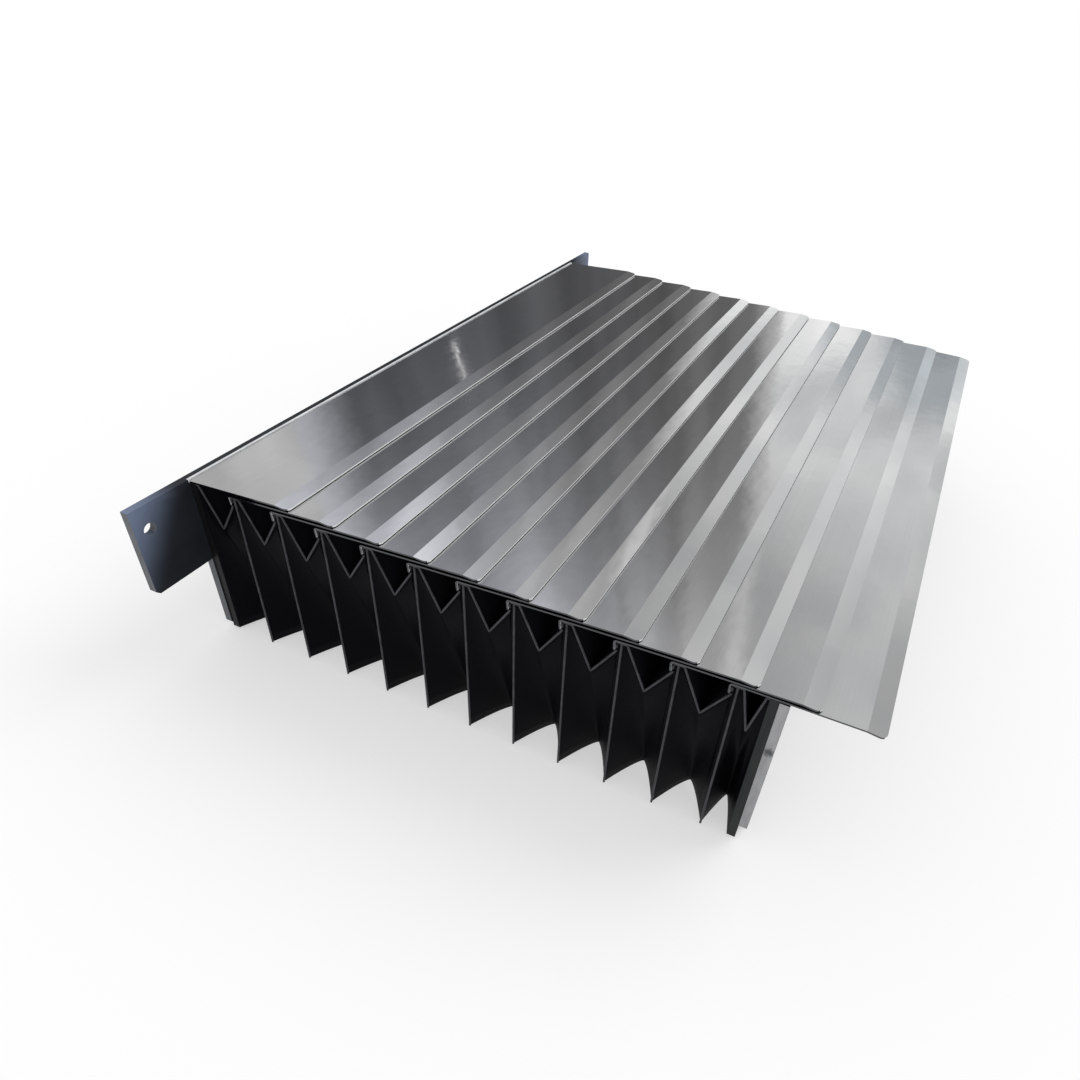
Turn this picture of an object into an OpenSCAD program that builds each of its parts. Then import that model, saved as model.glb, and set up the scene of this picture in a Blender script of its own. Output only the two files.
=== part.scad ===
// Bellows way cover with steel lamellas, pulled out, standing on its end plates.
// X is the travel, from the fixed end to the moving end. Y runs along the folds, front to back. Z is up.

/* [Cover] */
// Width of the cloth across the cover
cover_w = 410; // [240:5:800]
// Height of the cloth from the fold tops to the hem
skirt_h = 93; // [60:1:150]
// Distance from fold to fold when pulled out
fold_pitch = 25; // [21:0.5:34]
// Distance from the last fold to the moving end when pulled out
end_fold_pitch = 15; // [13:0.5:25]
// Depth of the folds on top
fold_depth = 22; // [14:0.5:32]
// Depth of the folds at the hem of the skirts
hem_fold_depth = 21; // [10:0.5:32]
// Shape of the folds at the hem: 1 is a straight V, 2 is a round arch
hem_bow = 1.25; // [1:0.05:2]
// Width of the flat top of a fold
fold_top_w = 5; // [4:0.1:7]
// Thickness of the cloth
cloth_t = 0.6; // [0.3:0.1:0.8]

/* [Lamellas] */
// Reach of a lamella from its hook's pivot to its free edge
lamella_reach = 60; // [52:0.5:90]
// Thickness of the lamella sheet
lamella_t = 0.8; // [0.4:0.1:1.1]
// How far a lamella stands past the cloth at each end
lamella_overhang = 0.5; // [0:0.5:8]
// Width of the bent strip along the free edge
strip_w = 7.5; // [5:0.5:12]
// Radius of the free corners
corner_r = 3; // [0.5:0.5:6]
// Tilt of the first lamellas when pulled out, in degrees
rest_tilt = 5; // [4:0.1:8]
// Tilt of the last lamella, which has no other lamella below it, in degrees
last_tilt = 1.5; // [0.5:0.1:4]
// Straight drop of the hook below its pivot
hook_drop = 1.6; // [0.8:0.1:2.4]

/* [Support frames] */
// Thickness of a support frame
frame_t = 0.8; // [0.5:0.1:1]
// Width of a support frame's legs
frame_leg_w = 14; // [8:0.5:24]
// Height of a support frame's top bar
frame_bar_h = 20; // [10:0.5:30]
// Distance of the frame's legs from the face of the skirt
frame_inset = 7; // [5:0.5:10]

/* [End plates] */
// Thickness of the end plates
plate_t = 4; // [3:0.5:8]
// How far the fixed plate's top edge stands above the folds
plate_rise = 1.5; // [0:0.5:10]
// How far the plates reach below the hem
foot_drop = 2; // [1:0.5:10]
// Width of the plates' legs
leg_w = 45; // [41:1:70]
// Height of the plates' top bar below the fold tops
bar_h = 46; // [30:1:48]
// Chamfer of the fixed plate's lower outer corners
leg_chamfer = 5; // [1:0.5:12]
// Chamfer of the moving plate's lower outer corners
moving_leg_chamfer = 12; // [1:0.5:16]
// Diameter of the fixing holes in the legs
fixing_hole_d = 6.6; // [3:0.1:9]
// Distance of the fixing holes from the clamp frame
fixing_hole_gap = 12; // [9:0.5:14]
// Height of the fixing holes above the floor
fixing_hole_z = 30; // [15:0.5:40]

/* [Tabs] */
// Reach of the fixed plate's tabs past its sides
tab_reach = 34; // [20:0.5:80]
// Height of a tab
tab_h = 47.5; // [30:0.5:60]
// Chamfer of a tab's lower corner
tab_chamfer = 2; // [1:0.5:10]
// Diameter of a tab's hole
tab_hole_d = 6.6; // [3:0.1:11]
// Distance of the hole from a tab's outer edge
tab_hole_edge = 8; // [7:0.5:14]
// Distance of the hole from a tab's top edge
tab_hole_top = 13; // [7:0.5:20]

/* [Clamp frames] */
// Thickness of the clamp frames
clamp_t = 4; // [3:0.5:5]
// Width of the clamp frames' bar and legs
clamp_w = 20; // [16:0.5:24]
// Diameter of the rivet shanks
rivet_d = 4; // [3.6:0.1:5]
// Diameter of the rivet heads
rivet_head_d = 7.6; // [6:0.1:8.4]
// Number of rivets along the top bar
bar_rivets = 5; // [2:1:9]
// Height of the lowest rivet above the hem
leg_rivet_z = 18; // [8:0.5:24]
// Distance between the rivets of a leg
leg_rivet_pitch = 32; // [14:0.5:38]

/* [Clearances] */
// Gap between the cloth and what it touches
seat_gap = 0.3; // [0.2:0.05:0.5]
// Gap between neighbouring lamellas at the free edge
lamella_gap = 0.3; // [0.2:0.05:0.5]
// Room for the first lamella to tilt beside the fixed plate
tilt_gap = 1.2; // [1:0.1:2]
// Gap around a rivet shank
rivet_gap = 0.05; // [0.02:0.01:0.1]

/* [Hidden] */
fold_count = 12;
$fn = 48;
over = 1;
steel = "#b9bdc0";
cloth_black = "#17181c";
plate_grey = "#5d6672";
clamp_black = "#3a3f42";
frame_grey = "#8a8f96";

// Levels and stations
peak_z = foot_drop + skirt_h;
cover_l = (fold_count - 1) * fold_pitch + end_fold_pitch;
top_half = fold_top_w / 2;
clamp_half = clamp_t / 2;
plate_w = cover_w + 2 * lamella_overhang;
fixed_top_z = peak_z + plate_rise;
function station_x(k) = k * fold_pitch;
function last_fold(k) = k == fold_count - 1;

// Hook of a lamella, around its pivot: it grips the left side of a fold's flat top
pivot_inset = 0.6;
pivot_dx = top_half - pivot_inset;
pivot_drop = 2;
lip_in = top_half + seat_gap - pivot_dx;
sheet_v = pivot_drop + seat_gap;
hook_r = 0.8;
foot_r = 0.6;
foot_turn = 50;
arc_steps = 6;
bend_u = lamella_reach - strip_w;
strip_drop = fold_pitch * sin(rest_tilt) - lamella_t - lamella_gap;
strip_bend = asin(strip_drop / strip_w);
lamella_l = cover_w + 2 * lamella_overhang;
first_u = pivot_dx - clamp_half + tilt_gap;
function pivot_x(k) = station_x(k) - pivot_dx;

// Each lamella rests on the next, so a lower tilt at the last one fades out along the row
lean_share = (lamella_reach - fold_pitch) / lamella_reach;
function tilt(k) = rest_tilt - (rest_tilt - last_tilt) * pow(lean_share, fold_count - 1 - k);

// Neck of a fold under the hook
neck_inset = 0.8;
neck_room = 0.9;
neck_half = top_half - neck_inset;
neck_drop = pivot_drop + hook_drop + neck_room;

// The origin is under the middle of the whole cover
free_u = bend_u + strip_w * cos(strip_bend) + lamella_t * sin(strip_bend);
free_v = sheet_v - strip_w * sin(strip_bend) + lamella_t * cos(strip_bend);
free_x = pivot_x(fold_count - 1) + free_u * cos(last_tilt) - free_v * sin(last_tilt);
left_x = -clamp_half - plate_t;
origin_x = (left_x + free_x) / 2;

function two_digits(k) = str(k < 10 ? "0" : "", k);
lamella_names = [for (k = [0 : fold_count - 1]) str("lamella_", two_digits(k))];
frame_names = [for (k = [1 : fold_count - 1]) str("support_frame_", two_digits(k))];
end_names = ["fixed_end_plate", "fixed_clamp_frame", "fixed_end_rivets",
             "moving_end_plate", "moving_clamp_frame", "moving_end_rivets"];

// From the cover's own frame, with the first fold at X = 0, to the part's frame
module place() {
  translate([-origin_x, 0, 0]) children();
}

// An outline in Y and Z, made a sheet of thickness t that starts at x
module sheet_yz(x, t) {
  translate([x, 0, 0]) rotate([90, 0, 90]) linear_extrude(t) children();
}

// A row of children along X at each of the points in Y and Z
module at_points(points, x) {
  for (p = points) translate([x, p[0], p[1]]) rotate([0, 90, 0]) children();
}

// U outline: width w, from the floor level low to top, with its bar and legs, open below
module u_outline(w, low, top, bar, leg) {
  difference() {
    translate([-w / 2, low]) square([w, top - low]);
    translate([-w / 2 + leg, low - over]) square([w - 2 * leg, top - bar - low + over]);
  }
}

// Triangle that cuts the lower outer corner at the side s of an outline
module corner_cut(y, z, size, s) {
  polygon([[y, z + size], [y - s * size, z], [y + s * over, z - over], [y + s * over, z + size]]);
}

// Outline of an end plate, without its tabs
module plate_outline(top, chamfer) {
  difference() {
    u_outline(plate_w, 0, top, top - peak_z + bar_h, leg_w);
    for (s = [-1, 1]) corner_cut(s * plate_w / 2, 0, chamfer, s);
  }
}

// Holes that the rivets and the fixing screws take in an end plate
fixing_y = cover_w / 2 - clamp_w - fixing_hole_gap;
fixing_points = [for (s = [-1, 1]) [s * fixing_y, fixing_hole_z]];
bar_span = cover_w - 2 * clamp_w;
bar_step = bar_span / (bar_rivets - 1);
bar_points = [for (i = [0 : bar_rivets - 1]) [i * bar_step - bar_span / 2, peak_z - clamp_w / 2]];
leg_y = (cover_w - clamp_w) / 2;
leg_points = [for (s = [-1, 1], i = [0, 1]) [s * leg_y, foot_drop + leg_rivet_z + i * leg_rivet_pitch]];
rivet_points = concat(bar_points, leg_points);

module rivet_holes(x, t) {
  at_points(rivet_points, x - over) cylinder(d = rivet_d + 2 * rivet_gap, h = t + 2 * over);
}

// Sunk seats of the rivet heads in a face at x; dir is the way into the sheet
head_sunk = (rivet_head_d - rivet_d) / 2;
module sunk_seats(x, dir) {
  seat_r = rivet_head_d / 2 + rivet_gap;
  for (p = rivet_points) translate([x, p[0], p[1]]) rotate([0, 90 * dir, 0])
    cylinder(r1 = seat_r, r2 = seat_r - head_sunk, h = head_sunk);
}

// End plate between x and x + plate_t; its outer face looks away from dir
module end_plate(x, outer_x, dir, top, chamfer) {
  difference() {
    sheet_yz(x, plate_t) {
      plate_outline(top, chamfer);
      children();
    }
    rivet_holes(x, plate_t);
    sunk_seats(outer_x, dir);
    at_points(fixing_points, x - over) cylinder(d = fixing_hole_d, h = plate_t + 2 * over);
  }
}

// Tab at the side s of the fixed plate, with its lower corner cut and its hole
module tab_outline(s) {
  edge = plate_w / 2 + tab_reach;
  low = fixed_top_z - tab_h;
  difference() {
    translate([s > 0 ? plate_w / 2 - leg_w : -edge, low]) square([tab_reach + leg_w, tab_h]);
    corner_cut(s * edge, low, tab_chamfer, s);
    translate([s * (edge - tab_hole_edge), fixed_top_z - tab_hole_top]) circle(d = tab_hole_d);
  }
}

// Frame that the end of the cloth is fixed to; its inner face looks away from dir
module clamp_frame(x, inner_x, dir) {
  color(clamp_black) difference() {
    sheet_yz(x, clamp_t) u_outline(cover_w, foot_drop, peak_z, clamp_w, clamp_w);
    rivet_holes(x, clamp_t);
    sunk_seats(inner_x, dir);
  }
}

// Rivets through a plate and its clamp frame, sunk flush at both ends
module rivets(outer_x, dir) {
  grip = plate_t + clamp_t;
  color(steel) for (p = rivet_points) translate([outer_x, p[0], p[1]]) rotate([0, 90 * dir, 0]) {
    cylinder(d1 = rivet_head_d, d2 = rivet_d, h = head_sunk);
    cylinder(d = rivet_d, h = grip);
    translate([0, 0, grip - head_sunk]) cylinder(d1 = rivet_d, d2 = rivet_head_d, h = head_sunk);
  }
}

module fixed_end_plate() {
  color(plate_grey) place() end_plate(left_x, left_x, 1, fixed_top_z, leg_chamfer)
    for (s = [-1, 1]) tab_outline(s);
}

module fixed_clamp_frame() {
  place() clamp_frame(-clamp_half, clamp_half, -1);
}

module fixed_end_rivets() {
  place() rivets(left_x, 1);
}

moving_x = cover_l + clamp_half;

module moving_end_plate() {
  color(plate_grey) place() end_plate(moving_x, moving_x + plate_t, -1, peak_z, moving_leg_chamfer);
}

module moving_clamp_frame() {
  place() clamp_frame(cover_l - clamp_half, cover_l - clamp_half, 1);
}

module moving_end_rivets() {
  place() rivets(moving_x + plate_t, -1);
}

// Points of an arc about c, from angle a to angle b
function arc(c, r, a, b) = [
  for (i = [0 : arc_steps])
    let (w = a + (b - a) * i / arc_steps)
    c + r * [cos(w), sin(w)]
];

// Section of a lamella about its pivot: hook at the left, flat sheet, bent strip at the right
hook_c = [hook_r - lip_in, sheet_v - hook_r];
foot_c = [foot_r - lip_in, -hook_drop];
strip_end = [bend_u + strip_w * cos(strip_bend), sheet_v - strip_w * sin(strip_bend)];
strip_points = [
  [bend_u, sheet_v],
  strip_end,
  strip_end + lamella_t * [sin(strip_bend), cos(strip_bend)],
  [bend_u + lamella_t * tan(strip_bend / 2), sheet_v + lamella_t],
];
hooked_section = concat(
  arc(foot_c, foot_r, 180 + foot_turn, 180),
  arc(hook_c, hook_r, 180, 90),
  strip_points,
  arc(hook_c, hook_r + lamella_t, 90, 180),
  arc(foot_c, foot_r + lamella_t, 180, 180 + foot_turn)
);
plain_section = concat([[first_u, sheet_v]], strip_points, [[first_u, sheet_v + lamella_t]]);

// What a rounded free corner takes off the strip, at the side s
module free_corner(s) {
  tall = 2 * sheet_v + 2 * lamella_t;
  translate([free_u - corner_r, s * (lamella_l / 2 - corner_r), sheet_v]) difference() {
    translate([0, s > 0 ? 0 : -corner_r - over, -tall / 2]) cube([corner_r + over, corner_r + over, tall]);
    cylinder(r = corner_r, h = 2 * tall, center = true);
  }
}

module lamella(k) {
  section = k == 0 ? plain_section : hooked_section;
  color(steel) place() translate([pivot_x(k), 0, peak_z - pivot_drop]) rotate([0, -tilt(k), 0])
    difference() {
      rotate([90, 0, 0]) linear_extrude(lamella_l, center = true) polygon(section);
      for (s = [-1, 1]) free_corner(s);
    }
}

module support_frame(k) {
  top = peak_z - cloth_t - seat_gap;
  low = 2 * foot_drop;
  color(frame_grey) place() sheet_yz(station_x(k) - frame_t / 2, frame_t)
    u_outline(cover_w - 2 * frame_inset, low, top, frame_bar_h, frame_leg_w);
}

// Cloth: fold profiles in X and depth. The top's depth is down, the hem's depth is inwards.
end_dx = clamp_half + seat_gap;
end_flat = 1.2;
slant_steps = 5;
function slant(a, b, n) = [for (i = [0 : n - 1]) a + (b - a) * i / n];
function fold_start(k) = k == 0 ? end_dx : 0;
function fold_end(k) = last_fold(k) ? end_fold_pitch - end_dx : fold_pitch;

// One fold on top, from a flat top down to the V's bottom and up to the next hook's neck
function top_fold(k) =
  let (x = station_x(k), pitch = last_fold(k) ? end_fold_pitch : fold_pitch)
  let (low = [pitch / 2, -fold_depth], left = [k == 0 ? end_dx + end_flat : top_half, 0])
  let (right = [last_fold(k) ? pitch - end_dx - end_flat : pitch - top_half, 0])
  let (neck = last_fold(k) ? (right + low) / 2 : [pitch - neck_half, -neck_drop])
  let (down = slant(left, low, slant_steps), up = slant(low, neck, slant_steps))
  [for (p = concat([[fold_start(k), 0]], down, up, [neck, right])) p + [x, 0]];

// One fold at the hem, point for point under the top's fold, with its crease under the V's bottom
function hem_fold(k) =
  let (x = station_x(k) + fold_start(k), l = fold_end(k) - fold_start(k), n = slant_steps + 1)
  [for (s = concat(slant(0, 0.5, n), slant(0.5, 1, n + 1)))
    [x + l * s, -hem_fold_depth * (1 - pow(abs(2 * s - 1), hem_bow))]];

top_line = concat([for (k = [0 : fold_count - 1]) each top_fold(k)], [[cover_l - end_dx, 0]]);
hem_line = concat([for (k = [0 : fold_count - 1]) each hem_fold(k)], [[cover_l - end_dx, 0]]);

// The same line moved inwards by the cloth's thickness, square to the line, plumb at its ends
function way(p, q) = (q - p) / norm(q - p);
function inward(d) = [d[1], -d[0]];
function moved_in(line, t) = let (n = len(line) - 1) [
  for (i = [0 : n])
    i == 0 || i == n ? line[i] + [0, -t] :
    let (a = inward(way(line[i - 1], line[i])), b = inward(way(line[i], line[i + 1])))
    line[i] + t * (a + b) / (1 + a * b)
];

// Rows of points from the front hem up, over the top and down to the back hem
skirt_steps = 5;
function skirt_row(top, hem, s, side, gap) = [
  for (i = [0 : len(top) - 1])
    let (x = top[i][0] + (hem[i][0] - top[i][0]) * s, y = gap + (-hem[i][1] - gap) * s)
    let (z = peak_z + top[i][1] + (foot_drop - peak_z - top[i][1]) * s)
    [x, side * (cover_w / 2 - y), z]
];
function cloth_rows(top, hem, gap) = concat(
  [for (i = [0 : skirt_steps]) skirt_row(top, hem, 1 - i / skirt_steps, -1, gap)],
  [for (i = [0 : skirt_steps]) skirt_row(top, hem, i / skirt_steps, 1, gap)]
);

// Two triangles between four points of a grid
function quad(a, b, c, d) = [[a, b, c], [a, c, d]];

module bellows_cloth() {
  outer = cloth_rows(top_line, hem_line, 0);
  inner = cloth_rows(moved_in(top_line, cloth_t), moved_in(hem_line, cloth_t), cloth_t);
  rows = len(outer);
  cols = len(top_line);
  shift = rows * cols;
  function at(r, c) = r * cols + c;
  faces = concat(
    [for (r = [0 : rows - 2], c = [0 : cols - 2])
      each quad(at(r, c), at(r + 1, c), at(r + 1, c + 1), at(r, c + 1))],
    [for (r = [0 : rows - 2], c = [0 : cols - 2])
      each quad(shift + at(r, c), shift + at(r, c + 1), shift + at(r + 1, c + 1), shift + at(r + 1, c))],
    [for (c = [0 : cols - 2]) each quad(at(0, c), at(0, c + 1), shift + at(0, c + 1), shift + at(0, c))],
    [for (c = [0 : cols - 2]) let (r = rows - 1)
      each quad(at(r, c + 1), at(r, c), shift + at(r, c), shift + at(r, c + 1))],
    [for (r = [0 : rows - 2]) each quad(at(r + 1, 0), at(r, 0), shift + at(r, 0), shift + at(r + 1, 0))],
    [for (r = [0 : rows - 2]) let (c = cols - 1)
      each quad(at(r, c), at(r + 1, c), shift + at(r + 1, c), shift + at(r, c))]
  );
  color(cloth_black) place() polyhedron([each each outer, each each inner], faces, convexity = 20);
}

fixed_end_plate();
fixed_clamp_frame();
fixed_end_rivets();
moving_end_plate();
moving_clamp_frame();
moving_end_rivets();
bellows_cloth();
for (k = [1 : fold_count - 1]) support_frame(k);
for (k = [0 : fold_count - 1]) lamella(k);
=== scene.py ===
from math import cos, pi, radians, sin

import bmesh
import bpy
from mathutils import Matrix, Vector


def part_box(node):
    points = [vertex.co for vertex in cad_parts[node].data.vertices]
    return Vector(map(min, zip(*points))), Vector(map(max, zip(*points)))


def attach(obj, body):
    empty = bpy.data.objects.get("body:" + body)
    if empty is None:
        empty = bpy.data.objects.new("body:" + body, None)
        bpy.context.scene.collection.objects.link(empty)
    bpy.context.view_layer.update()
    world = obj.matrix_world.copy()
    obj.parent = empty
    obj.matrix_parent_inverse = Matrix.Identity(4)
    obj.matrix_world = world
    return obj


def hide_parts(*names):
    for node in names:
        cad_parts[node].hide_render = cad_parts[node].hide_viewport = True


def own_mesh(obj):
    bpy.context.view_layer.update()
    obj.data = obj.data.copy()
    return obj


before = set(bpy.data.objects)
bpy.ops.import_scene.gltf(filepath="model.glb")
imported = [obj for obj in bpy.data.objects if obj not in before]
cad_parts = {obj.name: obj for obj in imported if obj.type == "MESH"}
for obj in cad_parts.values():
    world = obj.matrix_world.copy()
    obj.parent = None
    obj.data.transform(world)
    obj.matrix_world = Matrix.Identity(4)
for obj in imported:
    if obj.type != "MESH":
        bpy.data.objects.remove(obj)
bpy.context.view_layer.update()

# End plates: two U-shaped sheets of steel that straddle the guideway, under a dark blue-grey coat.
# The fixed one has a drilled tab on each side, with painted light on each tab's outer top corner and along
# its top, and a painted highlight on a strip of its inner face beside the first lamella.
# Its side edges are thinly coated. The moving one's are worn bare, with a small scuff.
ENDS = ("fixed", "moving")
COAT_DARK = (0.013, 0.015, 0.019, 1)
COAT_LIGHT = (0.022, 0.025, 0.031, 1)
COAT_SPECULAR = 0.1
COAT_ROUGHNESS = (0.34, 0.46)
COAT_CLOUDS = (22, 22, 30)
COAT_GRAIN = (900, 900, 900)
COAT_GRAIN_DEPTH = 0.00003
SIDE_EDGES = {
    "fixed": ((0.105, 0.110, 0.120, 1), (0.150, 0.156, 0.168, 1)),
    "moving": ((0.28, 0.282, 0.29, 1), (0.37, 0.373, 0.38, 1)),
}
SIDE_GRAIN = (300, 300, 90)
# The painted light on a tab, measured on a slant from its outer top corner, and the painted lit band along
# its top.
TAB_PAINTED_LIGHT = (0.170, 0.210, 0.308, 1)
TAB_LIGHT_SLANT = 0.55
TAB_LIGHT_REACH = 0.0316
TAB_LIGHT_WHOLE = 0.0006
TAB_LIGHT_PATCHES = (0.75, 1.0)
BAND_BELOW_TOP = 0.001
BAND_HIGH = 0.007
BAND_SHARE = 0.7
BAND_CLEAR = 0.006
BAND_FADE = 0.016
# The painted highlight on the strip of the inner face, measured down from the plate's top, and on the edge
# over it.
STRIP_PAINTED_HIGHLIGHT = (0.80, 0.81, 0.83, 1)
HIGHLIGHT_FROM_TOP = 0.0020
HIGHLIGHT_WHOLE = 0.0013
HIGHLIGHT_EDGE = 0.0012
HIGHLIGHT_LUMPS = (60, 60, 60)
HIGHLIGHT_UNEVEN = (0.6, 1.0)
# The scuff on the moving one's front edge, and its height above the floor.
SCUFF = (0.09, 0.092, 0.096, 1)
SCUFF_UP = 0.066
SCUFF_R = 0.0035
SCUFF_CORE = SCUFF_R / 3
SCUFF_LUMPS = (700, 700, 700)
SCUFF_RAGGED = (0.6, 1.6)
# A face or a cut corner that looks this far along an axis counts as facing it.
FACES_AXIS = 0.7
CORNER_FACES_AXIS = 0.6
SPECKLE_ROUGHNESS = 0.6
# Nearly all of a speckle's values lie between these two.
SPECKLE_LOW = 0.3
SPECKLE_HIGH = 0.7
# The Mix node's sockets for the share and the two colours, and the one for the colour that comes out.
MIX_INPUTS = (0, 6, 7)
MIX_OUTPUT = 2

plate_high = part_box("fixed_end_plate")[1]
first_lamella_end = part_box("lamella_00")[1].y


def new_finish(name):
    """A new material with its node tree and its shader."""
    material = bpy.data.materials.new(name)
    material.use_nodes = True
    tree = material.node_tree
    return material, tree, tree.nodes["Principled BSDF"]


def add(tree, kind, sockets, **settings):
    """A node with its settings, and its sockets set to values or wired to other nodes' outputs."""
    node = tree.nodes.new(kind)
    for name, value in settings.items():
        setattr(node, name, value)
    for name, value in sockets.items():
        if isinstance(value, bpy.types.NodeSocket):
            tree.links.new(value, node.inputs[name])
        else:
            node.inputs[name].default_value = value
    return node


def place(tree):
    """Where the surface is, in the part's own metres."""
    return add(tree, "ShaderNodeTexCoord", {}).outputs["Object"]


def place_on(tree, axis):
    """Where the surface is along that axis of the part, in metres."""
    return add(tree, "ShaderNodeSeparateXYZ", {"Vector": place(tree)}).outputs[axis]


def facing(tree, axis):
    """How far the surface faces along that axis of the part, from -1 to 1."""
    normal = add(tree, "ShaderNodeTexCoord", {}).outputs["Normal"]
    return add(tree, "ShaderNodeSeparateXYZ", {"Vector": normal}).outputs[axis]


def speckle(tree, per_metre, detail=3.0):
    """Noise over the part's own metres, with its own number of lumps per metre along X, Y and Z."""
    stretched = add(tree, "ShaderNodeMapping", {"Vector": place(tree), "Scale": per_metre}).outputs["Vector"]
    sockets = {"Vector": stretched, "Scale": 1.0, "Detail": detail, "Roughness": SPECKLE_ROUGHNESS}
    return add(tree, "ShaderNodeTexNoise", sockets).outputs["Fac"]


def spread(tree, amount, low, high, start=SPECKLE_LOW, end=SPECKLE_HIGH, way="LINEAR"):
    """A number that goes from low to high as the amount, such as a speckle, goes from start to end."""
    sockets = {"Value": amount, "From Min": start, "From Max": end, "To Min": low, "To Max": high}
    return add(tree, "ShaderNodeMapRange", sockets, interpolation_type=way).outputs["Result"]


def tint(tree, amount, low, high):
    """A colour that goes from low to high with the amount."""
    node = add(tree, "ShaderNodeMix", dict(zip(MIX_INPUTS, (amount, low, high))), data_type="RGBA")
    return node.outputs[MIX_OUTPUT]


def relief(tree, height, depth, under=None):
    """The surface's normal with that height on it, depth metres at most, over another relief."""
    sockets = {"Height": height, "Strength": 1.0, "Distance": depth}
    if under:
        sockets["Normal"] = under
    return add(tree, "ShaderNodeBump", sockets).outputs["Normal"]


def wire(tree, shader, **sockets):
    """Joins outputs to the shader's sockets: base_color= goes to Base Color, and so on."""
    for name, output in sockets.items():
        tree.links.new(output, shader.inputs[name.replace("_", " ").title()])


def reckon(tree, operation, *numbers):
    """The result of a sum on numbers or other nodes' outputs."""
    return add(tree, "ShaderNodeMath", dict(enumerate(numbers)), operation=operation).outputs["Value"]


def reckon_points(tree, operation, *points):
    """The result of a sum on points or other nodes' outputs."""
    return add(tree, "ShaderNodeVectorMath", dict(enumerate(points)), operation=operation).outputs


def product(tree, first, *others):
    """All the numbers or outputs multiplied."""
    for other in others:
        first = reckon(tree, "MULTIPLY", first, other)
    return first


def painted_tab_light_share(tree, cloud):
    """How much painted light covers the coat: most at a tab's outer top corner and along its top, in cloudy
    patches.
    """
    outwards = reckon(tree, "ABSOLUTE", place_on(tree, "Y"))
    up = place_on(tree, "Z")
    slanting = reckon(tree, "ADD", outwards, product(tree, up, TAB_LIGHT_SLANT))
    tip = plate_high.y + plate_high.z * TAB_LIGHT_SLANT
    corner = spread(tree, slanting, 0, 1, tip - TAB_LIGHT_REACH, tip - TAB_LIGHT_WHOLE, way="SMOOTHSTEP")
    band_top = plate_high.z - BAND_BELOW_TOP
    band = spread(tree, up, 0, BAND_SHARE, band_top - BAND_HIGH, band_top, way="SMOOTHSTEP")
    fade_start = first_lamella_end + BAND_CLEAR
    on_tab = spread(tree, outwards, 0, 1, fade_start, fade_start + BAND_FADE)
    most = reckon(tree, "MAXIMUM", corner, product(tree, band, on_tab))
    return product(tree, most, spread(tree, cloud, *TAB_LIGHT_PATCHES))


def painted_highlight_share(tree):
    """The most painted highlight on the strip of the inner face above the first lamella and on the edge over
    it, 0 elsewhere.
    """
    inner = reckon(tree, "GREATER_THAN", facing(tree, "X"), FACES_AXIS)
    up = place_on(tree, "Z")
    strip = spread(tree, up, 0, 1, plate_high.z - HIGHLIGHT_FROM_TOP, plate_high.z - HIGHLIGHT_WHOLE)
    on_top = reckon(tree, "GREATER_THAN", facing(tree, "Z"), FACES_AXIS)
    edge = reckon(tree, "GREATER_THAN", place_on(tree, "X"), plate_high.x - HIGHLIGHT_EDGE)
    highlighted = reckon(tree, "MAXIMUM", product(tree, inner, strip), product(tree, on_top, edge))
    outwards = reckon(tree, "ABSOLUTE", place_on(tree, "Y"))
    beside = reckon(tree, "LESS_THAN", outwards, first_lamella_end)
    uneven = spread(tree, speckle(tree, HIGHLIGHT_LUMPS), *HIGHLIGHT_UNEVEN)
    return product(tree, highlighted, beside, uneven)


def scuffed_share(tree, plate):
    """1 at the scuff on the plate's front edge, 0 round it, with a ragged border."""
    low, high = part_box(plate)
    spot = ((low.x + high.x) / 2, low.y, SCUFF_UP)
    away = reckon_points(tree, "DISTANCE", place(tree), spot)["Value"]
    ragged = product(tree, away, spread(tree, speckle(tree, SCUFF_LUMPS), *SCUFF_RAGGED))
    return spread(tree, ragged, 1, 0, SCUFF_CORE, SCUFF_R)


def plate_steel(end):
    """The coat, with the wear of the fixed or the moving end."""
    material, tree, shader = new_finish(f"plate_steel_{end}")
    shader.inputs["Specular IOR Level"].default_value = COAT_SPECULAR
    cloud = speckle(tree, COAT_CLOUDS)
    coat = tint(tree, spread(tree, cloud, 0, 1), COAT_DARK, COAT_LIGHT)
    side = tint(tree, spread(tree, speckle(tree, SIDE_GRAIN), 0, 1), *SIDE_EDGES[end])
    if end == "fixed":
        # Painted light: the tab's lit corner and lit top band are painted into the coat's colour.
        coat = tint(tree, painted_tab_light_share(tree, cloud), coat, TAB_PAINTED_LIGHT)
        # Painted highlight: a near-white strip on the inner face above the first lamella stands in for light
        # on it.
        coat = tint(tree, painted_highlight_share(tree), coat, STRIP_PAINTED_HIGHLIGHT)
    else:
        side = tint(tree, scuffed_share(tree, "moving_end_plate"), side, SCUFF)
    sideways = reckon(tree, "ABSOLUTE", facing(tree, "Y"))
    on_side = reckon(tree, "GREATER_THAN", sideways, CORNER_FACES_AXIS)
    wire(tree, shader, base_color=tint(tree, on_side, coat, side))
    wire(tree, shader, roughness=spread(tree, cloud, *COAT_ROUGHNESS))
    wire(tree, shader, normal=relief(tree, speckle(tree, COAT_GRAIN, detail=2.0), COAT_GRAIN_DEPTH))
    return material


def dress(node, material):
    """Gives a carried-over solid its finish."""
    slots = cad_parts[node].data.materials
    slots.clear()
    slots.append(material)


for end in ENDS:
    dress(f"{end}_end_plate", plate_steel(end))

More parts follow.
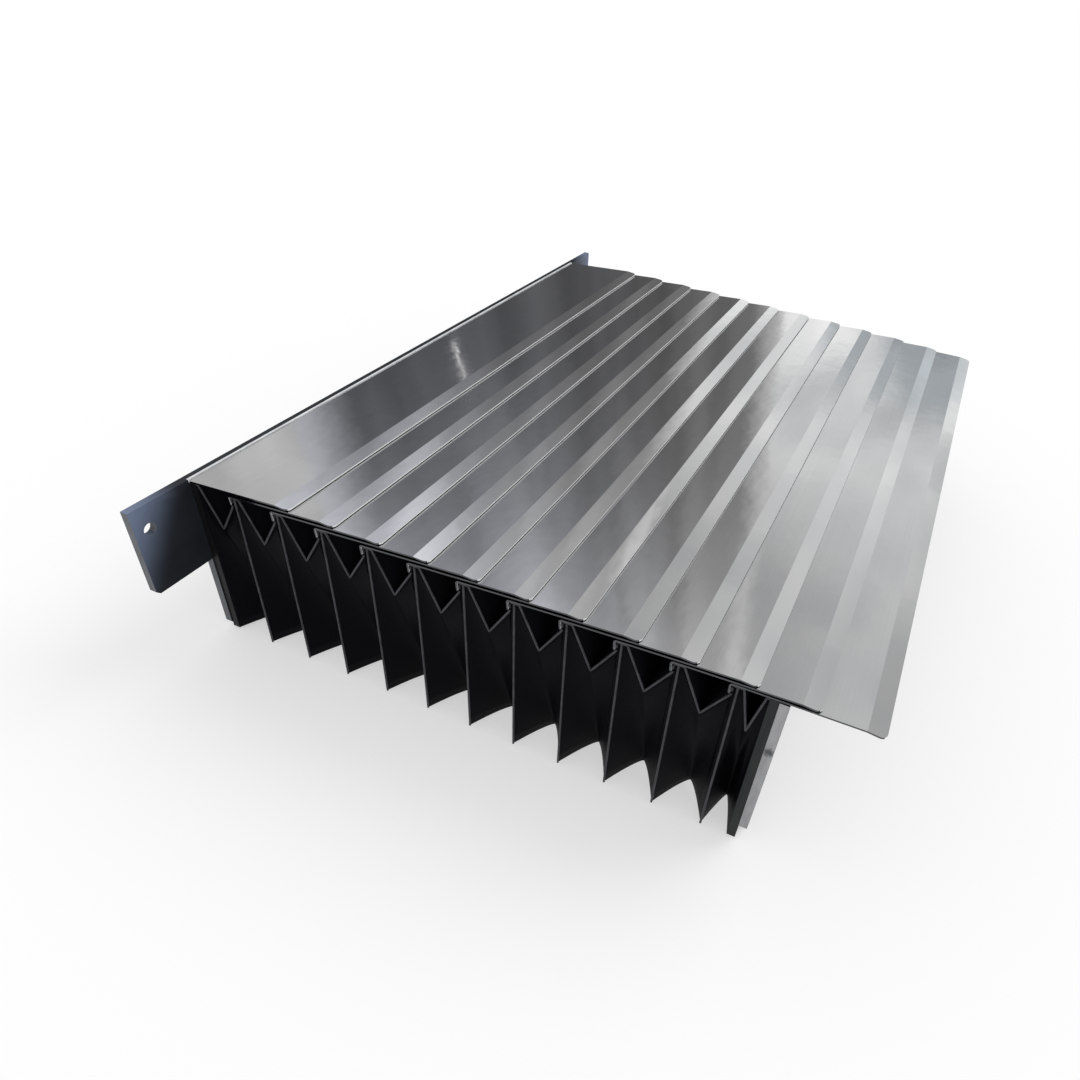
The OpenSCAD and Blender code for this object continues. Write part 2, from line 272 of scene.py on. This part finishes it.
# Clamp frames: U-shaped strips of black sheet plastic, one on the inside of each end plate.
# The ends of the cloth are welded to them, and their milled front edges show beside the plates.
# The moving one's are dusty, and so a little paler.
CLAMP_SHADES = {
    "fixed": ((0.006, 0.006, 0.007, 1), (0.010, 0.010, 0.011, 1)),
    "moving": ((0.014, 0.016, 0.017, 1), (0.024, 0.027, 0.027, 1)),
}
CLAMP_SPECULAR = 0.15
CLAMP_ROUGHNESS = (0.42, 0.58)
CLAMP_CLOUDS = (40, 25, 60)
MILLING = (1200, 300, 40)
MILLING_DEPTH = 0.00004


def clamp_plastic(end):
    """Milled black plastic, dusty at the moving end."""
    material, tree, shader = new_finish(f"clamp_plastic_{end}")
    shader.inputs["Specular IOR Level"].default_value = CLAMP_SPECULAR
    cloud = speckle(tree, CLAMP_CLOUDS)
    milled = speckle(tree, MILLING, detail=1.0)
    wire(tree, shader, base_color=tint(tree, spread(tree, milled, 0, 1), *CLAMP_SHADES[end]))
    wire(tree, shader, roughness=spread(tree, cloud, *CLAMP_ROUGHNESS))
    wire(tree, shader, normal=relief(tree, milled, MILLING_DEPTH))
    return material


for end in ENDS:
    dress(f"{end}_clamp_frame", clamp_plastic(end))

# Rivets: plain aluminium, through the plates and the clamp frames, and sunk flush at both ends.
# Pressing leaves them a little dull and unevenly bright.
RIVET_DARK = (0.42, 0.43, 0.44, 1)
RIVET_LIGHT = (0.68, 0.69, 0.70, 1)
RIVET_ROUGHNESS = (0.5, 0.28)
RIVET_DENTS = (420, 420, 420)
RIVET_DENT_DEPTH = 0.00008


def rivet_aluminium():
    """Pressed aluminium, brighter where the dents leave it smooth."""
    material, tree, shader = new_finish("rivet_aluminium")
    shader.inputs["Metallic"].default_value = 1.0
    press = speckle(tree, RIVET_DENTS)
    wire(tree, shader, base_color=tint(tree, spread(tree, press, 0, 1), RIVET_DARK, RIVET_LIGHT))
    wire(tree, shader, roughness=spread(tree, press, *RIVET_ROUGHNESS))
    wire(tree, shader, normal=relief(tree, press, RIVET_DENT_DEPTH))
    return material


pressed_aluminium = rivet_aluminium()
for end in ENDS:
    dress(f"{end}_end_rivets", pressed_aluminium)

# Support frames: thin U-shaped frames stamped from grey sheet plastic, one under each fold edge.
# They slide along the guideway and keep the folds in shape.
FRAME_DARK = (0.15, 0.155, 0.17, 1)
FRAME_LIGHT = (0.24, 0.245, 0.26, 1)
FRAME_ROUGHNESS = (0.38, 0.52)
FRAME_STREAKS = (300, 12, 160)
FRAME_STREAK_DEPTH = 0.00002


def frame_plastic():
    """Grey plastic with the streaks of its rolling."""
    material, tree, shader = new_finish("frame_plastic")
    rolled = speckle(tree, FRAME_STREAKS)
    wire(tree, shader, base_color=tint(tree, spread(tree, rolled, 0, 1), FRAME_DARK, FRAME_LIGHT))
    wire(tree, shader, roughness=spread(tree, rolled, *FRAME_ROUGHNESS))
    wire(tree, shader, normal=relief(tree, rolled, FRAME_STREAK_DEPTH))
    return material


def like_nodes(start):
    """The names of the nodes that start so, in order."""
    return sorted(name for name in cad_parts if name.startswith(start))


support_names = like_nodes("support_frame_")
grey_plastic = frame_plastic()
for name in support_names:
    dress(name, grey_plastic)

# Bellows cloth: one piece of black coated cloth, folded over the support frames as a roof with two skirts.
# On top the folds go down in a V, and along the hem of each skirt they go in, in bowed scallops.
# Its two ends are welded to the clamp frames.
CLOTH_DARK = (0.0022, 0.0022, 0.0034, 1)
CLOTH_LIGHT = (0.0038, 0.0038, 0.0056, 1)
CLOTH_SPECULAR = 0.03
CLOTH_ROUGHNESS = (0.44, 0.6)
CLOTH_CLOUDS = (14, 14, 18)
CREASES = (70, 70, 12)
CREASE_DEPTH = 0.0004
THREADS_PER_METRE = 1600
THREAD_TURN = (0.6, 0.6, 0.6)
THREAD_DEPTH = 0.00006
CLOTH_THICK = 0.0006
FOLD_DEPTH = 0.022
HEM_DEPTH = 0.021
HEM_BOW = 1.25
TOP_HALF = 0.0025
NECK_HALF = 0.0017
NECK_DROP = 0.0045
END_FLAT = 0.0012
# Marks along a fold: its start, its top's edge, its bottom, its neck, the next top's edge and its end.
FOLD_MARKS = (0, 1, 6, 11, 12, 13)
LOW_MARK = FOLD_MARKS[2]
LAST_MARK = FOLD_MARKS[-1]
STEPS_PER_MARK = 3
SKIRT_ROWS = 16


def middle_x(node):
    """The middle of a node along the travel."""
    low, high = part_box(node)
    return (low.x + high.x) / 2


stations = [middle_x(name) for name in ("fixed_clamp_frame", *support_names, "moving_clamp_frame")]
folds = len(stations) - 1
cloth_low, cloth_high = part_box("bellows_cloth")
cloth_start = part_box("fixed_clamp_frame")[1].x
cloth_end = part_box("moving_clamp_frame")[0].x
side_y = cloth_high.y
peak_z = cloth_high.z
hem_z = cloth_low.z


def fold_bends(k):
    """The bends of one fold on top as (x, depth), one for each mark."""
    x = stations[k]
    pitch = stations[k + 1] - x
    low = pitch / 2
    start, left = 0.0, TOP_HALF
    right, end = pitch - TOP_HALF, pitch
    neck = (pitch - NECK_HALF, NECK_DROP)
    if k == 0:
        start = cloth_start - x
        left = start + END_FLAT
    if k == folds - 1:
        end = cloth_end - x
        right = end - END_FLAT
        neck = ((right + low) / 2, FOLD_DEPTH / 2)
    bends = [(start, 0), (left, 0), (low, FOLD_DEPTH), neck, (right, 0), (end, 0)]
    return [(x + across, depth) for across, depth in bends]


def hem_share(mark):
    """How far along the hem a mark lies, from 0 to 1. The fold's bottom lies halfway."""
    if mark < LOW_MARK:
        return mark / LOW_MARK / 2
    return 1 - (LAST_MARK - mark) / (LAST_MARK - LOW_MARK) / 2


def between(low, high, share):
    """The number that lies at that share of the way from low to high."""
    return low + (high - low) * share


def fold_columns(k):
    """The columns of one fold: (x on top, depth on top, x at the hem, depth at the hem)."""
    bends = fold_bends(k)
    first_x, last_x = bends[0][0], bends[-1][0]
    columns = []
    for mark, next_mark, bend, next_bend in zip(FOLD_MARKS, FOLD_MARKS[1:], bends, bends[1:]):
        steps = (next_mark - mark) * STEPS_PER_MARK
        for i in range(steps):
            top = [between(here, there, i / steps) for here, there in zip(bend, next_bend)]
            along = hem_share(between(mark, next_mark, i / steps))
            hem_depth = HEM_DEPTH * (1 - abs(2 * along - 1) ** HEM_BOW)
            columns.append((*top, between(first_x, last_x, along), hem_depth))
    return columns


cloth_columns = [column for k in range(folds) for column in fold_columns(k)]
cloth_columns.append((cloth_end, 0.0, cloth_end, 0.0))


def skirt_point(column, share, side):
    """A point of a skirt, from share 0 on top to share 1 at the hem, on the side -1 or 1."""
    top_x, top_depth, hem_x, hem_depth = column
    x = between(top_x, hem_x, share)
    y = side * (side_y - hem_depth * share)
    z = between(peak_z - top_depth, hem_z, share)
    return Vector((x, y, z))


def coated_cloth():
    """Black coated cloth with a fine weave and soft creases down the skirts."""
    material, tree, shader = new_finish("coated_cloth")
    shader.inputs["Specular IOR Level"].default_value = CLOTH_SPECULAR
    cloud = speckle(tree, CLOTH_CLOUDS)
    sockets = {"Vector": place(tree), "Rotation": THREAD_TURN}
    turned = add(tree, "ShaderNodeMapping", sockets).outputs["Vector"]
    weave = add(tree, "ShaderNodeTexVoronoi", {"Vector": turned, "Scale": THREADS_PER_METRE})
    wire(tree, shader, base_color=tint(tree, spread(tree, cloud, 0, 1), CLOTH_DARK, CLOTH_LIGHT))
    wire(tree, shader, roughness=spread(tree, cloud, *CLOTH_ROUGHNESS))
    creased = relief(tree, speckle(tree, CREASES), CREASE_DEPTH)
    wire(tree, shader, normal=relief(tree, weave.outputs["Distance"], THREAD_DEPTH, under=creased))
    return material


def new_piece(name, mesh, material):
    """A new object in the scene, with its finish."""
    piece = bpy.data.objects.new(name, mesh)
    bpy.context.scene.collection.objects.link(piece)
    mesh.materials.append(material)
    return piece


def finished_mesh(name, shape):
    """Turns what was modelled into a mesh."""
    mesh = bpy.data.meshes.new(name)
    shape.to_mesh(mesh)
    shape.free()
    return mesh


def cloth_sheet():
    """The outer face of the cloth, from the front hem over the roof to the back hem."""
    shares = [i / SKIRT_ROWS for i in range(SKIRT_ROWS + 1)]
    rows = [(share, -1) for share in reversed(shares)] + [(share, 1) for share in shares]
    sheet = bmesh.new()
    grid = [[sheet.verts.new(skirt_point(c, share, side)) for c in cloth_columns] for share, side in rows]
    for row, above in zip(grid, grid[1:]):
        for corners in zip(row, row[1:], above[1:], above):
            sheet.faces.new(corners).smooth = True
    return finished_mesh("bellows_cloth_sheet", sheet)


def thicken(piece, thick):
    """Gives a sheet its thickness, on the inside."""
    layer = piece.modifiers.new("thickness", "SOLIDIFY")
    layer.thickness = thick
    layer.offset = -1
    bpy.context.view_layer.update()
    seen = piece.evaluated_get(bpy.context.evaluated_depsgraph_get())
    mesh = bpy.data.meshes.new_from_object(seen)
    piece.modifiers.clear()
    piece.data = mesh


cloth = new_piece("bellows_cloth_folds", cloth_sheet(), coated_cloth())
thicken(cloth, CLOTH_THICK)

# Fold edges: the cloth is welded along its folds, which leaves thin grey ribs.
# They run along the V ends of the roof and down the outer fold of each skirt, from the roof to the hem.
RIB_DARK = (0.022, 0.022, 0.027, 1)
RIB_LIGHT = (0.060, 0.060, 0.069, 1)
RIB_SPECULAR = 0.3
RIB_ROUGHNESS = (0.45, 0.65)
RIB_DENTS = (160, 160, 160)
RIB_DENT_DEPTH = 0.0001
RIB_R = 0.00055
RIB_SIDES = 8


def welded_rib():
    """Cloth pressed and welded grey."""
    material, tree, shader = new_finish("welded_rib")
    shader.inputs["Specular IOR Level"].default_value = RIB_SPECULAR
    press = speckle(tree, RIB_DENTS)
    wire(tree, shader, base_color=tint(tree, spread(tree, press, 0, 1), RIB_DARK, RIB_LIGHT))
    wire(tree, shader, roughness=spread(tree, press, *RIB_ROUGHNESS))
    wire(tree, shader, normal=relief(tree, press, RIB_DENT_DEPTH))
    return material


def add_rib(ribs, points):
    """Adds a round rib along the points, closed at both ends."""
    angles = [2 * pi * j / RIB_SIDES for j in range(RIB_SIDES)]
    circle = [Vector((RIB_R * cos(a), RIB_R * sin(a), 0)) for a in angles]
    rings = []
    for before, point, after in zip(points[:1] + points, points, points[1:] + points[-1:]):
        turn = (after - before).to_track_quat("Z", "Y")
        rings.append([ribs.verts.new(point + turn @ spoke) for spoke in circle])
    for ring, next_ring in zip(rings, rings[1:]):
        for j in range(RIB_SIDES):
            k = (j + 1) % RIB_SIDES
            ribs.faces.new((ring[j], ring[k], next_ring[k], next_ring[j])).smooth = True
    ribs.faces.new(reversed(rings[0]))
    ribs.faces.new(rings[-1])


def fold_ribs():
    """On each side a zigzag rib along the roof's end, and one down each outer fold of the skirt."""
    ribs = bmesh.new()
    fold_size = len(cloth_columns) // folds
    for side in (-1, 1):
        add_rib(ribs, [skirt_point(column, 0.0, side) for column in cloth_columns])
        for column in cloth_columns[fold_size:-1:fold_size]:
            add_rib(ribs, [skirt_point(column, i / SKIRT_ROWS, side) for i in range(SKIRT_ROWS + 1)])
    return finished_mesh("bellows_fold_ribs", ribs)


ribs = new_piece("bellows_fold_ribs", fold_ribs(), welded_rib())

for piece in (cloth, ribs):
    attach(piece, "fixed_end")
    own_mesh(piece)
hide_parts("bellows_cloth")

# Lamellas: strips of bright rolled stainless steel, hooked over the left side of a fold's top. The first is
# plain and lies beside the fixed end plate. A strip along each free edge is bent down to the next one and
# has a painted sheen: its colour is painted brighter. Its cut face has a painted highlight, near-white and
# not metallic. The ends are sheared and look dark.
STEEL_DARK = (0.520, 0.523, 0.525, 1)
STEEL_LIGHT = (0.536, 0.539, 0.541, 1)
STEEL_ROUGHNESS = (0.06, 0.11)
STRIP_PAINTED_SHEEN = (0.590, 0.592, 0.593, 1)
STRIP_LEAN = (0.01, 0.04)
SHEARED = (0.09, 0.092, 0.097, 1)
EDGE_PAINTED_HIGHLIGHT = (0.85, 0.855, 0.86, 1)
SMEARS = (16, 9, 16)
ROLLING = (1400, 6, 300)
ROLLING_DEPTH = 0.0000002
WAVES = (60, 40, 60)
WAVE_DEPTH = 0.00008
BOWS = (9, 5, 9)
BOW_DEPTH = 0.0008


def lamella_steel():
    """Bright steel with rolling lines and a little waviness, with a painted sheen on its bent strip and a
    painted highlight on its free edges.
    """
    material, tree, shader = new_finish("lamella_steel")
    sideways = reckon(tree, "ABSOLUTE", facing(tree, "Y"))
    sheared = reckon(tree, "GREATER_THAN", sideways, FACES_AXIS)
    free = reckon(tree, "GREATER_THAN", facing(tree, "X"), FACES_AXIS)
    rolled = speckle(tree, ROLLING, detail=2.0)
    sheet = tint(tree, spread(tree, rolled, 0, 1), STEEL_DARK, STEEL_LIGHT)
    # Painted reflection: the bent strip's base colour is made brighter the more it leans towards +X.
    bent = spread(tree, facing(tree, "X"), 0, 1, *STRIP_LEAN)
    # Painted highlight: the free edges' cut faces are near-white and not metallic, so they show a bright
    # line.
    bright = tint(tree, free, tint(tree, bent, sheet, STRIP_PAINTED_SHEEN), EDGE_PAINTED_HIGHLIGHT)
    wire(tree, shader, metallic=reckon(tree, "SUBTRACT", 1.0, free))
    wire(tree, shader, base_color=tint(tree, sheared, bright, SHEARED))
    wire(tree, shader, roughness=spread(tree, speckle(tree, SMEARS), *STEEL_ROUGHNESS))
    bowed = relief(tree, speckle(tree, BOWS, detail=1.0), BOW_DEPTH)
    waved = relief(tree, speckle(tree, WAVES, detail=2.0), WAVE_DEPTH, under=bowed)
    wire(tree, shader, normal=relief(tree, rolled, ROLLING_DEPTH, under=waved))
    return material


bright_steel = lamella_steel()
for name in like_nodes("lamella_"):
    dress(name, bright_steel)

# Floor: wide, flat and white, so that the cover stands on it as on a sheet of paper.
# What the camera and mirrors see of it is part plain white, which keeps the cover's shadow pale.
FLOOR_HALF = 40.0
FLOOR_WHITE = (0.95, 0.95, 0.95, 1)
FLOOR_ROUGHNESS = 0.9
SHADOW_PALENESS = 0.5
WHITE = (1, 1, 1, 1)


def seen_directly(tree):
    """1 for the rays that the camera, mirrors and glass show, 0 for those that only light things."""
    path = add(tree, "ShaderNodeLightPath", {}).outputs
    mirrored = reckon(tree, "MAXIMUM", path["Is Camera Ray"], path["Is Glossy Ray"])
    return reckon(tree, "MAXIMUM", mirrored, path["Is Transmission Ray"])


def white_floor():
    """A white floor whose shadows look pale."""
    material, tree, shader = new_finish("white_floor")
    shader.inputs["Base Color"].default_value = FLOOR_WHITE
    shader.inputs["Roughness"].default_value = FLOOR_ROUGHNESS
    shader.inputs["Specular IOR Level"].default_value = 0.0
    white = add(tree, "ShaderNodeEmission", {"Color": WHITE, "Strength": 1.0}).outputs["Emission"]
    share = product(tree, seen_directly(tree), SHADOW_PALENESS)
    both = add(tree, "ShaderNodeMixShader", {0: share, 1: shader.outputs["BSDF"], 2: white})
    tree.links.new(both.outputs["Shader"], tree.nodes["Material Output"].inputs["Surface"])
    return material


def stage_mesh(name, corners, faces, material):
    """A mesh that isn't part of the cover."""
    mesh = bpy.data.meshes.new(name)
    mesh.from_pydata(corners, [], faces)
    piece = new_piece(name, mesh, material)
    return piece


floor_corners = [(x * FLOOR_HALF, y * FLOOR_HALF, 0) for x, y in ((-1, -1), (1, -1), (1, 1), (-1, 1))]
stage_mesh("floor", floor_corners, [(0, 1, 2, 3)], white_floor())

# Left card: grey, in soft lumps. It is one of the curved cards that stand round the cover for the steel to
# mirror, and that light nothing else. Bearings go clockwise from straight behind the cover.
# Pairs of values are a start and an end: of a glow, of places in metres, or of a span of the noise.
CARD_FAR = 6.0
CARD_STEPS = 24
PLAIN_LIGHT = (1.0, 1.0, 0.99, 1)
LEFT_FROM = radians(-95)
LEFT_TO = radians(-51)
LEFT_TOP = 9.0
LEFT_LUMPS = (1.8, 1.8, 2.4)
LEFT_GLOW = (0.6, 0.9)
LEFT_SPAN = (0.35, 0.65)


def card(material, start, end, high, low=0.0, far=CARD_FAR):
    """A curved card round the cover, from one bearing to another, that only mirrors show."""
    turns = [start + (end - start) * i / CARD_STEPS for i in range(CARD_STEPS + 1)]
    corners = [(far * sin(a), far * cos(a), z) for a in turns for z in (low, high)]
    faces = [(2 * i, 2 * i + 2, 2 * i + 3, 2 * i + 1) for i in range(CARD_STEPS)]
    piece = stage_mesh(material.name, corners, faces, material)
    piece.visible_camera = False
    piece.visible_diffuse = False
    piece.visible_shadow = False
    piece.visible_transmission = False


def glow(tree, colour, strength):
    """Makes the material give off its own light."""
    light = add(tree, "ShaderNodeEmission", {"Color": colour, "Strength": strength})
    tree.links.new(light.outputs["Emission"], tree.nodes["Material Output"].inputs["Surface"])


def left_grey(tree):
    """The glow of the left card, in soft lumps."""
    return spread(tree, speckle(tree, LEFT_LUMPS), *LEFT_GLOW, *LEFT_SPAN)


def left_card():
    """Lumpy grey all over."""
    material, tree, _ = new_finish("left_card")
    glow(tree, PLAIN_LIGHT, left_grey(tree))
    return material


card(left_card(), LEFT_FROM, LEFT_TO, LEFT_TOP)

# Dark card: at the back left, dark at the floor and lighter upwards, in soft bands, with pale borders.
# It is cooler and brightens faster at its left. A slim bright window stands just in front of it.
DARK_TO = radians(-12.3)
DARK_TOP = 7.0
DARK_LIGHT = (0.95, 0.97, 1.05, 1)
DARK_SIDES_X = (-3.7, -1.8)
DARK_GLOW = (0.115, 0.165)
DARK_RISE = (0.92, 0.36)
DARK_RISE_Z = (1.2, 5.4)
DARK_CURVE = 2.2
DARK_BANDS = (2.2, 2.2, 0.15)
DARK_BAND_GLOW = (0.75, 1.3)
DARK_BAND_SPAN = (0.38, 0.62)
BORDER_GLOW = 0.6
BORDER_LEFT_X = -4.35
BORDER_RIGHT_X = -1.52
WINDOW_AT = radians(-37.9)
WINDOW_HALF = radians(0.09)
WINDOW_LOW = 1.88
WINDOW_HIGH = 2.20
WINDOW_FAR = 5.9
WINDOW_GLOW = 2.0


def dark_card():
    """Bands of a glow that rises with the height, between the two borders."""
    material, tree, _ = new_finish("dark_card")
    along = place_on(tree, "X")
    rightwards = spread(tree, along, 0, 1, *DARK_SIDES_X)
    height = spread(tree, place_on(tree, "Z"), 0, 1, *DARK_RISE_Z)
    gain = spread(tree, rightwards, *DARK_RISE, 0, 1)
    rise = product(tree, reckon(tree, "POWER", height, DARK_CURVE), gain)
    bands = spread(tree, speckle(tree, DARK_BANDS), *DARK_BAND_GLOW, *DARK_BAND_SPAN)
    floor_glow = spread(tree, rightwards, *DARK_GLOW, 0, 1)
    inner_glow = product(tree, reckon(tree, "ADD", rise, floor_glow), bands)
    left_border = spread(tree, along, BORDER_GLOW, 0, CARD_FAR * sin(LEFT_TO), BORDER_LEFT_X)
    right_border = spread(tree, along, 0, BORDER_GLOW, BORDER_RIGHT_X, CARD_FAR * sin(DARK_TO))
    borders = reckon(tree, "ADD", left_border, right_border)
    colour = tint(tree, rightwards, DARK_LIGHT, PLAIN_LIGHT)
    glow(tree, colour, reckon(tree, "ADD", inner_glow, borders))
    return material


def slim_window():
    """Bright and plain."""
    material, tree, _ = new_finish("slim_window")
    glow(tree, PLAIN_LIGHT, WINDOW_GLOW)
    return material


card(dark_card(), LEFT_TO, DARK_TO, DARK_TOP)
card(slim_window(), WINDOW_AT - WINDOW_HALF, WINDOW_AT + WINDOW_HALF, WINDOW_HIGH, WINDOW_LOW, WINDOW_FAR)

# Right card: from behind the cover to its right, white in the middle, and greyer to the right and overhead.
# It is dimmer high up beside the dark card and cloudy near the floor, with a cool grey patch.
RIGHT_TO = radians(75)
RIGHT_TOP = 12.0
RIGHT_SIDE_GLOW = (1.05, 0.72)
RIGHT_SIDE_X = (0.8, 2.0)
RIGHT_HIGH_GLOW = (1.0, 0.8)
RIGHT_HIGH_Z = (3.6, 4.6)
RIGHT_DIM = 0.36
RIGHT_DIM_X = (-1.3, 0.4)
RIGHT_DIM_Z = (2.6, 4.4)
RIGHT_END_X = (2.2, 4.5)
COOL_LIGHT = (0.97, 0.985, 1.0, 1)
CLOUDS = (0.9, 0.9, 1.5)
CLOUD_SWING = (0.55, 0.12)
CLOUD_Z = (1.5, 3.6)
PATCH_AT = (0.3, 0, 2.1)
PATCH_HALF = (0.8, 1, 0.55)
PATCH_FADE = (0.6, 1.1)
PATCH_SHADE = 0.68
PATCH_LIGHT = (0.88, 0.95, 1.0, 1)
END_GLOW = (0.45, 0.9)
END_Z = (0.6, 4.8)


def end_grey(tree):
    """The glow at the right card's far end: darker at the floor."""
    return spread(tree, place_on(tree, "Z"), *END_GLOW, *END_Z)


def blended(tree, share, low, high):
    """A number that goes from low to high with the share, where both may be outputs."""
    return reckon(tree, "MULTIPLY_ADD", reckon(tree, "SUBTRACT", high, low), share, low)


def patch_share(tree):
    """1 in the middle of the patch, seen from the cover, 0 round it."""
    flat = reckon_points(tree, "MULTIPLY", place(tree), (1, 0, 1))["Vector"]
    from_middle = reckon_points(tree, "SUBTRACT", flat, PATCH_AT)["Vector"]
    sized = reckon_points(tree, "DIVIDE", from_middle, PATCH_HALF)["Vector"]
    away = reckon_points(tree, "LENGTH", sized)["Value"]
    return spread(tree, away, 1, 0, *PATCH_FADE, way="SMOOTHSTEP")


def right_card():
    """White, with its shades multiplied, and blended into the plain grey of its far end."""
    material, tree, _ = new_finish("right_card")
    along = place_on(tree, "X")
    up = place_on(tree, "Z")
    sideways = spread(tree, along, *RIGHT_SIDE_GLOW, *RIGHT_SIDE_X)
    upwards = spread(tree, up, *RIGHT_HIGH_GLOW, *RIGHT_HIGH_Z)
    near_dark = spread(tree, along, RIGHT_DIM, 0, *RIGHT_DIM_X)
    high_up = spread(tree, up, 0, 1, *RIGHT_DIM_Z)
    dimmed = reckon(tree, "SUBTRACT", 1.0, product(tree, near_dark, high_up))
    clouds = speckle(tree, CLOUDS)
    swing = product(tree, spread(tree, clouds, -1, 1), spread(tree, up, *CLOUD_SWING, *CLOUD_Z))
    cloudy = reckon(tree, "ADD", swing, 1.0)
    patch = patch_share(tree)
    shaded = spread(tree, patch, 1, PATCH_SHADE, 0, 1)
    own = product(tree, sideways, upwards, dimmed, cloudy, shaded)
    colour = tint(tree, spread(tree, clouds, 0, 1), COOL_LIGHT, PLAIN_LIGHT)
    colour = tint(tree, patch, colour, PATCH_LIGHT)
    to_end = spread(tree, along, 0, 1, *RIGHT_END_X, way="SMOOTHSTEP")
    glow(tree, colour, blended(tree, to_end, own, end_grey(tree)))
    return material


card(right_card(), DARK_TO, RIGHT_TO, RIGHT_TOP)

# Room card: the last one, round the front, for the steel to mirror when it is seen from the other sides.
# It is grey at the floor and white at its top, in broad soft bands, and its ends blend into its neighbours.
ROOM_TO = LEFT_FROM + 2 * pi
ROOM_TOP = 9.0
ROOM_SHADE = 0.75
ROOM_BANDS = (1.1, 1.1, 0.2)
ROOM_BAND_SHADE = (0.6, 1.2)
ROOM_BAND_SPAN = (0.35, 0.65)
ROOM_END_Y = (-4.5, -0.5)
ROOM_SIDES_X = (-CARD_FAR / 2, CARD_FAR / 2)


def room_card():
    """Shade in bands that fades upwards, blended into the greys of the left and the right card."""
    material, tree, _ = new_finish("room_card")
    shade = spread(tree, place_on(tree, "Z"), ROOM_SHADE, 0, *END_Z, way="SMOOTHSTEP")
    bands = spread(tree, speckle(tree, ROOM_BANDS), *ROOM_BAND_SHADE, *ROOM_BAND_SPAN)
    banded = reckon(tree, "SUBTRACT", 1.0, product(tree, shade, bands))
    on_right = spread(tree, place_on(tree, "X"), 0, 1, *ROOM_SIDES_X)
    ends = blended(tree, on_right, left_grey(tree), end_grey(tree))
    near_end = spread(tree, place_on(tree, "Y"), 0, 1, *ROOM_END_Y, way="SMOOTHSTEP")
    glow(tree, PLAIN_LIGHT, blended(tree, near_end, banded, ends))
    return material


card(room_card(), RIGHT_TO, ROOM_TO, ROOM_TOP)

# Light: an even white sky, and a broad soft lamp from the back right that mirrors don't show.
# Both are at a plain level, so that colours look as they are written.
SKY_FILL = 0.80
LAMP_STRENGTH = 1.2
LAMP_ANGLE = radians(35)
LAMP_FROM = Vector((0.50, 0.53, 0.68))


def white_sky():
    """White to the camera, to mirrors and through glass, and a little dimmer as light on the object."""
    world = bpy.data.worlds.new("white_sky")
    world.use_nodes = True
    tree = world.node_tree
    tree.nodes.clear()
    fill = add(tree, "ShaderNodeBackground", {"Color": WHITE, "Strength": SKY_FILL}).outputs["Background"]
    white = add(tree, "ShaderNodeBackground", {"Color": WHITE, "Strength": 1.0}).outputs["Background"]
    both = add(tree, "ShaderNodeMixShader", {0: seen_directly(tree), 1: fill, 2: white})
    add(tree, "ShaderNodeOutputWorld", {"Surface": both.outputs["Shader"]})
    return world


lamp = bpy.data.lights.new("soft_lamp", "SUN")
lamp.energy = LAMP_STRENGTH
lamp.angle = LAMP_ANGLE
lamp_holder = bpy.data.objects.new("soft_lamp", lamp)
lamp_holder.rotation_euler = LAMP_FROM.to_track_quat("Z", "Y").to_euler()
lamp_holder.visible_glossy = False
bpy.context.scene.collection.objects.link(lamp_holder)
bpy.context.scene.world = white_sky()
bpy.context.scene.view_settings.view_transform = "Standard"

# Camera: a wide lens close in front of the cover's right end, looking down to the left.
# It is held a little turned, and the frame is cropped off the lens's centre, as in the photograph.
CAMERA_AT = Vector((0.13372, -0.42224, 0.31246))
CAMERA_LEFT = radians(18.627)
CAMERA_DOWN = radians(40.375)
CAMERA_ROLL = radians(7.400)
LENS_MM = 25.798
SENSOR_MM = 36.0
SHIFT = (-0.07894, 0.05650)
NEAREST_SEEN = 0.01

ahead = Vector((-sin(CAMERA_LEFT), cos(CAMERA_LEFT), 0))
level = Vector((cos(CAMERA_LEFT), sin(CAMERA_LEFT), 0))
look = ahead * cos(CAMERA_DOWN) - Vector((0, 0, sin(CAMERA_DOWN)))
right = level * cos(CAMERA_ROLL) + level.cross(look) * sin(CAMERA_ROLL)
up = right.cross(look)
lens = bpy.data.cameras.new("camera")
lens.lens = LENS_MM
lens.sensor_width = SENSOR_MM
lens.shift_x, lens.shift_y = SHIFT
lens.clip_start = NEAREST_SEEN
camera = bpy.data.objects.new("camera", lens)
camera.matrix_world = Matrix.Translation(CAMERA_AT) @ Matrix((right, up, -look)).transposed().to_4x4()
bpy.context.scene.collection.objects.link(camera)
bpy.context.scene.camera = camera
